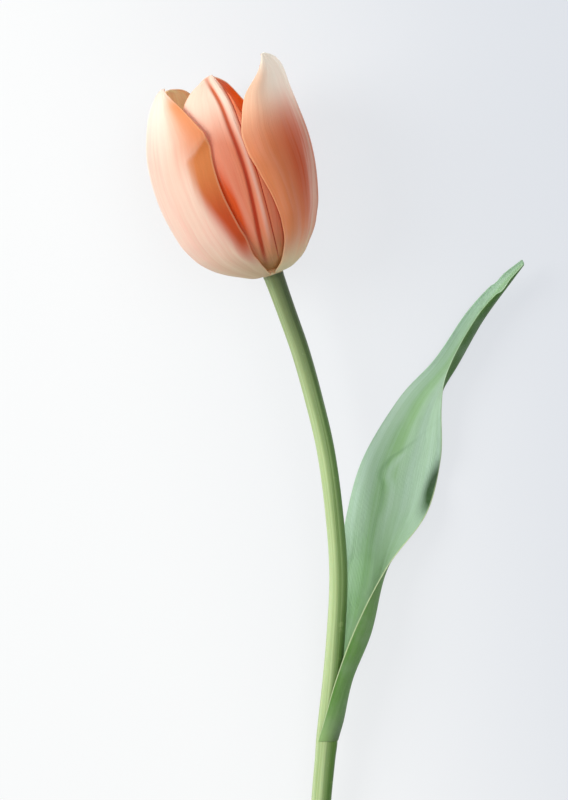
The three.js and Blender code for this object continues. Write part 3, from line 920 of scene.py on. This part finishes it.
class TULIP_OT_outer_tepals(Builder, bpy.types.Operator):
    """Builds the three outer tepals: left, right and the back one that the flower rests on"""

    bl_idname = "tulip.outer_tepals"
    bl_label = "Outer tepals"

    def build(self, tulip):
        made = tepal_finishes(("outer_inside", "left", "right", "back_inside", "back"))
        build_tepal(
            "outer_left", -60, (OUTER_HALF, OUTER_HALF_FOLDED), OUTER_TIP,
            (made["left"], made["outer_inside"]), left_relief,
        )
        build_tepal(
            "outer_right", 60, (OUTER_HALF_NARROW, OUTER_HALF_BROAD), FLARED_TIP,
            (made["right"], made["outer_inside"]), right_relief, lean=-0.8,
        )
        build_tepal(
            "outer_back", 180, (OUTER_HALF_SLENDER, OUTER_HALF), BACK_TIP,
            (made["back"], made["back_inside"]), back_relief, lean=-1,
        )


class TULIP_OT_inner_tepals(Builder, bpy.types.Operator):
    """Builds the three inner tepals: the ribbed front one and the two behind it"""

    bl_idname = "tulip.inner_tepals"
    bl_label = "Inner tepals"

    def build(self, tulip):
        made = tepal_finishes(("inner_inside", "inner_inside_painted_lit", "front", "behind", "behind_right"))
        build_tepal(
            "inner_front", 12.5, (INNER_HALF_FRONT, INNER_HALF_FOLDED), CLOSED_TIP,
            (made["front"], made["inner_inside"]), front_relief, lean=-1.8, gather=0.5, columns=64,
        )
        build_tepal(
            "inner_back_left", -124, (INNER_HALF_FULL, INNER_HALF), CLOSED_TIP,
            (made["behind"], made["inner_inside_painted_lit"]), inner_relief,
        )
        build_tepal(
            "inner_back_right", 112, (INNER_HALF, INNER_HALF), SPREAD_TIP,
            (made["behind_right"], made["inner_inside"]), inner_relief,
        )


# ---- Stem ----
def stem_course():
    tulip = bpy.context.scene.cut_tulip
    stem = tulip.stem
    seat = Vector(tulip.flower.seat)
    cut = stem.radius * 1.1
    points = []
    for aside, down in STEM_COURSE:
        height = mix(seat.z, cut, down / STEM_COURSE[0][1])
        points.append(Vector((seat.x + aside * stem.length, seat.y - down * stem.length, height)))
    points += [seat, flower_place() @ Vector((0, HEAD, 0))]
    return Course(points)


def tube(place_centre, heading, radius, grid, side=Vector((1, 0, 0))):
    """Closed tube of vertices round a course; radius(t, angle)."""
    columns, rows = grid
    rings = []
    across = side
    for j in range(rows + 1):
        t = j / rows
        along = heading(t)
        across = (across - along * across.dot(along)).normalized()
        rings.append((place_centre(t), across.copy(), along.cross(across)))

    def place(x, v):
        centre, a, b = rings[round(v * rows)]
        angle = math.pi * (x + 1)
        r = radius(v, angle)
        return centre + a * (r * math.cos(angle)) + b * (r * math.sin(angle))

    return grid_piece(place, columns, rows, wrapped=True)


def close_ends(bm, inset, sink):
    """Caps the open rings and dishes each cap a little."""
    rims = [edge for edge in bm.edges if edge.is_boundary]
    caps = bmesh.ops.holes_fill(bm, edges=rims, sides=0)["faces"]
    bmesh.ops.recalc_face_normals(bm, faces=bm.faces)
    made = bmesh.ops.inset_individual(bm, faces=caps, thickness=inset, depth=0)["faces"]
    for face in [*caps, *made]:
        face.material_index = 1
    for cap in caps:
        bmesh.ops.translate(bm, verts=cap.verts, vec=cap.normal * -sink)


class TULIP_OT_stem(Builder, bpy.types.Operator):
    """Builds the stem with its receptacle, node and cut end"""

    bl_idname = "tulip.stem"
    bl_label = "Stem"

    def build(self, tulip):
        stem = tulip.stem
        course = stem_course()
        head = HEAD / course.length
        girth = steady([
            (0, 1.1), (0.28, 1.06), (1 - tulip.leaf.node, RECEPTACLE), (0.4, 1.02), (0.7, 0.96),
            (0.93, 1), (1 - 1.6 * head, 1.08), (1 - head, RECEPTACLE), (1 - 0.3 * head, 0.85),
            (1, RECEPTACLE * RECEPTACLE_TOP),
        ])

        def crowd(t):
            """Place of a ring along the stem; the rings stand closer on the receptacle."""
            if t < CROWDED:
                return t / CROWDED * (1 - 3 * head)
            return mix(1 - 3 * head, 1, (t - CROWDED) / (1 - CROWDED))

        def radius(t, angle):
            at = crowd(t)
            ribs = 0.012 * math.sin(7 * angle + 3 * at) + 0.008 * math.sin(11 * angle + 1)
            seam = 0.16 * bump(math.cos(angle + 0.45), 1, 0.06) * smooth(at, 0.16, 0.3)
            seam *= 1 - smooth(at, 0.3, 0.34)
            return stem.radius * girth(at) * (1 + ribs + seam)

        bm = tube(
            lambda t: course.at(crowd(t)), lambda t: course.heading(crowd(t)), radius, STEM_GRID,
        )
        cut = course.at(0)
        along = course.heading(0)
        for vert in bm.verts:
            away = (vert.co - cut).dot(along)
            if abs(away) < 0.2 * MM:
                vert.co += along * (stem.cut_slant * (vert.co.x - cut.x))
        close_ends(bm, 0.5 * MM, 0.25 * MM)
        finishes = stem_finish(stem), cut_finish(stem)
        round_off(finish_piece("flower_stalk", bm, finishes, "stem", "stem"))


def stem_finish(stem):
    """Waxy green with fine ribs that run its length, painted shade down the side away from the light,
    and dusky just below the flower.
    """
    t = new_material("stem_skin")
    u, v = t.uv()
    turn = u * (2 * math.pi)
    ring_x, ring_y = t.math("COSINE", turn), t.math("SINE", turn)
    run = v * 3.0

    def ribs(scale, detail):
        spot = t.vector(ring_x * scale, ring_y * scale, run)
        return t.ramp(t.noise(spot, 1.0, detail), 0.3, 0.7)

    fine, broad = ribs(9.0, 3.0), ribs(1.6, 2.0)
    mottle = t.noise(t.spot(), 300.0, 4.0, 0.6)
    colour = t.blend(fine * 0.35 + broad * 0.35, stem.light, stem.deep)
    # Painted shade: the side of the stem away from the light is darkened.
    away = ring_x + (broad - 0.5) * 0.3
    painted_shade = t.blend(1.0, colour, tone(132, 166, 98), "MULTIPLY")
    colour = t.blend(t.ramp(away, -0.55, 0.85), colour, painted_shade)
    # Darker towards the flower, and on the side away from the light a painted shade.
    neck_and_side_shade = t.blend(t.ramp(away, -0.3, 0.7), stem.neck, tone(60, 74, 36))
    neck = t.ramp(v, 0.6, 0.88) * t.ramp(away, -1.0, -0.2, 0.45, 0.95)
    colour = t.blend(neck, colour, neck_and_side_shade)
    colour = t.blend(t.ramp(v, 0.944, 0.952), colour, tone(240, 224, 180))
    colour = t.blend(t.ramp(mottle, 0.62, 0.75, 0.0, 0.25), colour, tone(176, 198, 128))
    height = fine * 0.6 + mottle * 0.25
    return finish_shader(
        t, colour, fine * 0.12 + 0.36, height, 0.00025, sheen=0.1, subsurface=0.15,
    )


def cut_finish(stem):
    """Pale juicy flesh with darker dots, edged with green."""
    t = new_material("stem_cut")
    spot = t.add("TexVoronoi", {"Vector": t.spot(), "Scale": 1400.0}, "Distance")
    dots = t.ramp(spot, 0.0, 0.35, 1.0, 0.0)
    grain = t.noise(t.spot(), 1800.0, 3.0)
    colour = t.blend(dots * 0.5, stem.pith, stem.deep)
    colour = t.blend(grain * 0.3, colour, stem.light)
    return finish_shader(
        t, colour, grain * 0.3 + 0.2, dots + grain * 0.5, 0.0002, subsurface=0.2,
    )


# ---- Leaf ----
def section_point(far, keel, near, u):
    """Point on the circular arc through a leaf section; u -1 far, 0 keel, 1 near margin."""
    a, b = far - keel, near - keel
    cross = a.cross(b)
    centre = (b * a.length_squared - a * b.length_squared).cross(cross) * (0.5 / cross.length_squared)
    out = -centre.normalized()
    radius = centre.length
    side = cross.normalized().cross(out)

    def reach(p):
        q = p - centre
        return math.atan2(q.dot(side), q.dot(out))

    turn = -u * reach(a) if u < 0 else u * reach(b)
    return keel + centre + (out * math.cos(turn) + side * math.sin(turn)) * radius


class TULIP_OT_leaf(Builder, bpy.types.Operator):
    """Builds the leaf that clasps the stem, folds along its keel and narrows to its tip"""

    bl_idname = "tulip.leaf"
    bl_label = "Leaf"

    def build(self, tulip):
        leaf = tulip.leaf
        lines = leaf_lines()

        def place(x, v):
            far, keel, near = (along_points(line, v, 0.5) for line in lines)
            u = x * leaf_reach(x, v)
            p = section_point(far, keel, near, u)
            ripple = 0.3 * math.sin(24 * v + 4 * x) * abs(x) ** 2
            ripple *= smooth(v, 0.3, 0.5) * (1 - smooth(v, 0.75, 0.9))
            ripple += 0.4 * math.sin(8 * x + 1) * bump(v, 0.56, 0.14)
            roll = p.x / MM - ROLL_SLOPE * p.y / MM - ROLL_START
            p.z -= 2.4 * MM * (bump(roll, 2.2, 2.6) * bump(p.y / MM, 9, 8))
            line = lines[0] if x < -0.5 else lines[2] if x > 0.5 else lines[1]
            ahead = along_points(line, min(v + 0.01, 1), 0.5)
            tangent = ahead - along_points(line, max(v - 0.01, 0), 0.5)
            right = section_point(far, keel, near, u + 0.02)
            aside = right - section_point(far, keel, near, u - 0.02)
            p += aside.cross(tangent).normalized() * (ripple * MM)
            p.z = max(p.z, mix(leaf.thickness, leaf.margin, x * x) / 2)
            return p

        bm = grid_piece(place, *LEAF_GRID)
        uv = bm.loops.layers.uv.active
        weights = [0.0] * len(bm.verts)
        for face in bm.faces:
            for loop in face.loops:
                x = loop[uv].uv.x * 2 - 1
                up = loop[uv].uv.y
                body = (1 - x * x) * (1 - 0.6 * smooth(up, 0.8, 1)) * smooth(up, -0.01, 0.09)
                weights[loop.vert.index] = body
        finishes = leaf_finish(leaf, True), leaf_finish(leaf, False)
        piece = finish_piece("leaf_blade", bm, finishes, "leaf", "leaf")
        thicken(piece, leaf.thickness, 0.35 * MM, weights)


def leaf_lines():
    """Far margin, keel and near margin: points round the stem, then along the blade."""
    tulip = bpy.context.scene.cut_tulip
    leaf, stem = tulip.leaf, tulip.stem
    course = stem_course()
    sheath = stem.radius * RECEPTACLE + 0.35 * MM + leaf.thickness / 2
    snug = stem.radius * RECEPTACLE + 0.3 * MM
    long = leaf.length / (172 * MM)
    wide = leaf.width / (30 * MM)
    lines = [[], [], []]
    for up, *corners in CLASP:
        centre = course.at(1 - leaf.node + up * MM * long / course.length)
        for line, (x, z) in zip(lines, corners):
            line.append(centre + Vector((x, 0, z)) * (sheath if up else snug))
    node = course.at(1 - leaf.node)
    for corners in BLADE:
        spots = [
            Vector((node.x + x * MM * long, node.y + y * MM * long, z * MM)) for x, y, z in corners
        ]
        keel = spots[1]
        for line, spot in zip(lines, spots):
            line.append(keel + (spot - keel) * (1 if spot is keel else wide))
    return lines


def leaf_reach(x, v):
    """Part of the section that the leaf fills: small nicks in the margins near the tip."""
    depth, start = (0.3, 0.879) if x > 0 else (0.12, 0.884)
    nick = depth * smooth(v, start, start + 0.006) * (1 - smooth(v, start + 0.007, 0.93))
    return 1 - nick * smooth(abs(x), 0.5, 1)


def leaf_face(t, leaf, fine, broad, mottle, line):
    """Waxy bloom with a painted sheen beside the hooked crease, painted shade along the crease, and
    painted shade where the margin rolls over.
    """
    u, v = t.uv()
    x, y = (part * 1000.0 for part in t.parts(t.spot())[:2])
    bent = t.curve(y, [(b, a) for a, b in LEAF_CREASE], (-60, 60), (0, 60))
    ridge = x - bent + (mottle - 0.5) * 1.2
    upper = t.ramp(v, 0.3, 0.5)
    bloom_and_sheen = (t.ramp(u, 0.4, 0.05) + t.ramp(v, 0.4, 0.85) * 0.4).held()
    bloom_and_sheen = bloom_and_sheen * t.ramp(v, 0.22, 0.5, 0.2, 0.9)
    # A painted sheen: a pale bluish band beside the crease on the side that faces the light.
    lit_side = upper * t.ramp(x, 21.0, 29.0, 0.7, 0.1)
    bloom_and_sheen = t.math("MAXIMUM", bloom_and_sheen, t.band(ridge, 2.2, 3.0) * lit_side)
    bloom_and_sheen = t.math("MAXIMUM", bloom_and_sheen, t.ramp(u, 0.42, 0.62) * (upper * 0.8))
    bloom_and_sheen = (bloom_and_sheen + (broad - 0.5) * 0.3).held()
    colour = t.blend(bloom_and_sheen, leaf.face, leaf.bloom)
    # Painted shade along the hooked crease.
    shade = t.band(ridge, -0.9, 1.5) * (upper * 0.45) * t.ramp(x, 21.0, 29.0, 1.0, 0.15)
    colour = t.blend(shade, colour, tone(108, 156, 104))
    colour = t.blend(line * 0.3, colour, tone(112, 160, 104))
    thread = fine * t.ramp(v, 0.75, 0.95, 0.22, 0.05)
    colour = t.blend(thread, colour, tone(128, 170, 118))
    # Painted shade where the near margin rolls over and turns away from the light.
    roll = t.band(x - (y * ROLL_SLOPE + ROLL_START), 3.0, 6.0) * t.band(y, 7.0, 13.0)
    colour = t.blend(t.ramp(v, 0.8, 0.95, 0.0, 0.45), colour, tone(112, 150, 104))
    return t.blend((roll * 1.8).held(), colour, tone(44, 88, 28))


def leaf_finish(leaf, face):
    """Parallel veins under a waxy bloom with painted sheen on the face, a deeper plain green on the
    back, and painted shade on the foot's side away from the light.
    """
    t = new_material("leaf_face" if face else "leaf_back")
    u, v = t.uv()
    fine, broad, mottle = streaks(t, Fine=90.0, Broad=14.0, Run=2.0, Shift=7.0)
    bend = t.noise(t.vector(u, v * 5.0, 3.0), 2.0) * 0.06
    veins = t.add(
        "TexWave", {"Vector": t.vector(u + bend, 0.0, 0.0), "Scale": 22.0, "Distortion": 0.0},
        "Fac", wave_type="BANDS", bands_direction="X", wave_profile="SIN",
    )
    line = t.ramp(veins, 0.55, 1.0) * t.ramp(v, 0.95, 0.8)
    if face:
        colour = leaf_face(t, leaf, fine, broad, mottle, line)
    else:
        colour = t.blend(broad * 0.35, leaf.back, tone(132, 172, 100))
        colour = t.blend(line * 0.3, colour, tone(142, 180, 112))
        colour = t.blend(t.ramp(v, 0.5, 0.8, 0.0, 0.75), colour, tone(46, 92, 22))
    # The foot blends into the stem: lighter on the near margin's side, with painted shade round the
    # keel's side, away from the light.
    foot = t.blend(t.ramp(u, 0.98, 0.62), tone(150, 190, 106), tone(86, 118, 58))
    colour = t.blend(t.ramp(v, 0.16, 0.0, 0.0, 0.95), colour, foot)
    rim = t.ramp(u, 0.98, 0.994) * t.ramp(v, 0.75, 0.4, 0.2, 0.9)
    colour = t.blend(rim, colour, leaf.edge)
    cloudy = t.ramp(mottle, 0.4, 0.7, 0.0, 0.14) * t.ramp(v, 0.95, 0.8)
    colour = t.blend(cloudy, colour, tone(186, 210, 190))
    height = line * -0.8 + fine * 0.4 + mottle * 0.2
    height = height * t.ramp(v, 0.7, 0.92, 1.0, 0.12)
    gloss = mottle * 0.2 + (0.42 if face else 0.36)
    return finish_shader(t, colour, gloss, height, 0.0003, thin=0.15, sheen=0.15)


# ---- Stamens and pistil ----
class TULIP_OT_stamens(Builder, bpy.types.Operator):
    """Builds six stamens, each a tapered filament with a grooved anther on it"""

    bl_idname = "tulip.stamens"
    bl_label = "Stamens"

    def build(self, tulip):
        heart = tulip.heart
        to_floor = flower_place()
        thread, sac = filament_finish(heart), anther_finish(heart)
        foot = 3.25 * MM
        start = tulip.stem.radius * RECEPTACLE * RECEPTACLE_TOP + 0.85 * MM
        joint = foot + heart.stamen * 0.4
        spread = start + 2.2 * MM
        girth = steady([
            (0, 0.35), (0.06, 0.8), (0.15, 1), (0.45, 1.15), (0.85, 0.95), (0.95, 0.6), (1, 0.3),
        ])

        def taper(t, angle):
            return mix(0.6, 0.33, t) * MM

        def lobes(t, angle):
            groove = 0.32 * bump(math.cos(angle), -1, 0.12) + 0.16 * bump(math.cos(angle), 1, 0.1)
            return girth(t) * MM * (1 + 0.12 * math.cos(2 * angle + math.pi) - groove)

        thread_line = (start, foot), (start + 1.2 * MM, mix(foot, joint, 0.5)), (spread, joint)
        sac_line = (
            (spread + 0.1 * MM, joint + 0.35 * MM), (spread + 0.8 * MM, joint + heart.stamen * 0.3),
            (spread + 1 * MM, foot + heart.stamen),
        )
        def outward(turn, r, a):
            return to_floor @ Vector((r * math.sin(turn), a, r * math.cos(turn)))

        for number in range(1, 7):
            turn = (number - 1) * math.pi / 3
            side = (outward(turn, 1, 0) - outward(turn, 0, 0)).normalized()
            for slot, name, line, radius, grid, inset, finish in (
                ("filament", "stamen_thread", thread_line, taper, FILAMENT_GRID, 0.1, thread),
                ("anther", "stamen_sac", sac_line, lobes, ANTHER_GRID, 0.08, sac),
            ):
                course = Course([outward(turn, r, a) for r, a in line])
                bm = tube(course.at, course.heading, radius, grid, side)
                close_ends(bm, inset * MM, -0.05 * MM)
                finish_piece(f"{name}_{number}", bm, (finish, finish), f"{slot}_{number}", slot)


def filament_finish(heart):
    t = new_material("stamen_thread")
    grain = t.noise(t.spot(), 900.0, 3.0)
    colour = t.blend(t.ramp(t.uv()[1], 0.0, 0.7, 0.5, 0.0), heart.filament, heart.ovary)
    colour = t.blend(grain * 0.3, colour, tone(236, 226, 160))
    return finish_shader(t, colour, grain * 0.2 + 0.4, grain, 0.0001, subsurface=0.2)


def anther_finish(heart):
    t = new_material("stamen_sac")
    dust = t.noise(t.spot(), 2600.0, 4.0, 0.7)
    patch = t.noise(t.spot(), 420.0, 2.0)
    share = t.ramp(dust, 0.5, 0.66) * t.ramp(patch, 0.4, 0.65, 0.25, 0.9)
    colour = t.blend(share, heart.anther, heart.pollen)
    return finish_shader(t, colour, dust * 0.2 + 0.7, dust + patch * 0.5, 0.0003)


class TULIP_OT_pistil(Builder, bpy.types.Operator):
    """Builds the three-sided ovary under its three-lobed stigma"""

    bl_idname = "tulip.pistil"
    bl_label = "Pistil"

    def build(self, tulip):
        heart = tulip.heart
        to_floor = flower_place()
        foot = 2.85 * MM
        ends = foot, foot + heart.pistil
        axis = Course([to_floor @ Vector((0, end, 0)) for end in ends], steps=60)
        side = (to_floor @ Vector((0, 0, 1)) - to_floor @ Vector()).normalized()
        top = tulip.stem.radius * RECEPTACLE * RECEPTACLE_TOP
        girth = steady([
            (0, 0.8), (0.1, 0.9), (0.4, 1.35), (0.7, 1.2), (0.84, 1.02), (0.9, 1.5), (0.95, 1.85),
            (0.985, 1.6), (1, 1.2),
        ])
        lobe = steady([(0, 0), (0.1, 0.06), (0.84, 0.09), (0.93, 0.27), (1, 0.34)])

        def radius(t, angle):
            seam = -0.06 * bump(math.cos(3 * angle), 1, 0.08) * (1 - smooth(t, 0.8, 0.85))
            frill = 0.05 * math.cos(15 * angle) * smooth(t, 0.88, 0.93)
            return girth(t) * top * (1 + lobe(t) * math.cos(3 * angle) + seam + frill)

        bm = tube(axis.at, axis.heading, radius, PISTIL_GRID, side)
        close_ends(bm, 0.6 * MM, 0.5 * MM)
        finish = pistil_finish(heart)
        finish_piece("flower_pistil", bm, (finish, finish), "pistil", "pistil")


def pistil_finish(heart):
    t = new_material("flower_pistil")
    grain = t.noise(t.spot(), 1200.0, 4.0, 0.65)
    colour = t.blend(t.ramp(t.uv()[1], 0.84, 0.9), heart.ovary, heart.stigma)
    colour = t.blend(grain * 0.35, colour, tone(196, 200, 130))
    return finish_shader(t, colour, grain * 0.25 + 0.4, grain, 0.0003, subsurface=0.15)


# ---- Stage ----
class TULIP_OT_stage(Builder, bpy.types.Operator):
    """Lays the pale floor, hangs the soft light and places the camera straight above"""

    bl_idname = "tulip.stage"
    bl_label = "Stage"

    def build(self, tulip):
        stage = tulip.stage
        scene = bpy.context.scene
        bm = bmesh.new()
        bmesh.ops.create_grid(bm, x_segments=8, y_segments=8, size=FLOOR_REACH)
        mesh = bpy.data.meshes.new("floor")
        bm.to_mesh(mesh)
        bm.free()
        floor = bpy.data.objects.new("floor", mesh)
        scene.collection.objects.link(floor)
        mesh.materials.append(floor_finish(stage))
        floor.location.z = -0.2 * MM
        floor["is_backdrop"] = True
        for name, spot, size, energy, colour in (
            ("side light", (-0.75, 0.2, 0.6), 0.6, stage.key, (1, 0.985, 0.96)),
            ("top light", (0.3, 0.35, 1.1), 1.0, stage.top, (0.95, 0.98, 1)),
        ):
            light = bpy.data.lights.new(name, "AREA")
            light.shape = "DISK"
            light.size = size
            light.energy = energy
            light.color = colour
            lamp = bpy.data.objects.new(name, light)
            lamp.location = LIT_CENTRE + Vector(spot)
            lamp.rotation_euler = (-Vector(spot)).to_track_quat("-Z", "Y").to_euler()
            scene.collection.objects.link(lamp)
        world = bpy.data.worlds.new("soft room")
        scene.world = world
        world.use_nodes = True
        sky = world.node_tree.nodes["Background"]
        sky.inputs["Color"].default_value = (0.96, 0.98, 1, 1)
        sky.inputs["Strength"].default_value = stage.fill
        lens = bpy.data.cameras.new("camera")
        lens.lens = stage.lens
        lens.sensor_width = 36
        lens.clip_start = 0.01
        camera = bpy.data.objects.new("camera", lens)
        camera.location = (*VIEW_CENTRE, stage.camera_height)
        scene.collection.objects.link(camera)
        scene.camera = camera
        scene.view_settings.view_transform = "Standard"


def floor_finish(stage):
    """Pale floor that glows for the camera, with a painted light falloff brightest on the light's
    side; it takes only a faint shadow.
    """
    t = new_material("pale_floor")
    grain = t.noise(t.spot(), 40.0, 2.0)
    x, y, _ = t.parts(t.spot())
    painted_glow = t.blend(t.ramp(x + y * 0.25, -0.08, 0.13), tone(247, 248, 248), tone(217, 221, 228))
    painted_glow = t.blend(grain * 0.03, painted_glow, tone(240, 242, 246))
    lit = t.add("Emission", {"Color": painted_glow, "Strength": 1.0})
    shader = t.add("BsdfPrincipled", {
        "Base Color": stage.floor, "Roughness": 0.9, "Specular IOR Level": 0.1,
    })
    share = t.add("LightPath", output="Is Camera Ray") * stage.painted_glow
    t.node("OutputMaterial", {"Surface": t.join(share, shader, lit)})
    return t.material


class TULIP_PT_panel(bpy.types.Panel):
    """Settings and builders of the tulip"""

    bl_idname = "TULIP_PT_panel"
    bl_label = "Cut Tulip"
    bl_space_type = "VIEW_3D"
    bl_region_type = "UI"
    bl_category = "Tulip"

    def draw(self, context):
        tulip = context.scene.cut_tulip
        for title, group in (
            ("Flower", tulip.flower), ("Stem", tulip.stem), ("Leaf", tulip.leaf),
            ("Heart", tulip.heart), ("Stage", tulip.stage),
        ):
            box = self.layout.box()
            box.label(text=title)
            for key in group.__annotations__:
                box.prop(group, key)
        for operator in BUILDERS:
            self.layout.operator(operator.bl_idname)


BUILDERS = (
    TULIP_OT_stem, TULIP_OT_leaf, TULIP_OT_outer_tepals, TULIP_OT_inner_tepals,
    TULIP_OT_stamens, TULIP_OT_pistil, TULIP_OT_stage,
)
CLASSES = (
    TulipFlowerSettings, TulipStemSettings, TulipLeafSettings, TulipHeartSettings,
    TulipStageSettings, TulipSettings, *BUILDERS, TULIP_PT_panel,
)


def register():
    for cls in CLASSES:
        bpy.utils.register_class(cls)
    bpy.types.Scene.cut_tulip = PointerProperty(type=TulipSettings)


def unregister():
    del bpy.types.Scene.cut_tulip
    for cls in reversed(CLASSES):
        bpy.utils.unregister_class(cls)


def corners(box):
    return [list(corner) for corner in box]


def main():
    register()
    bpy.ops.tulip.stem()
    bpy.ops.tulip.leaf()
    bpy.ops.tulip.outer_tepals()
    bpy.ops.tulip.inner_tepals()
    bpy.ops.tulip.stamens()
    bpy.ops.tulip.pistil()
    bpy.ops.tulip.stage()
    {"cad": corners(CAD_BOX), "visual": corners(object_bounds())}


if __name__ == "__main__":
    main()
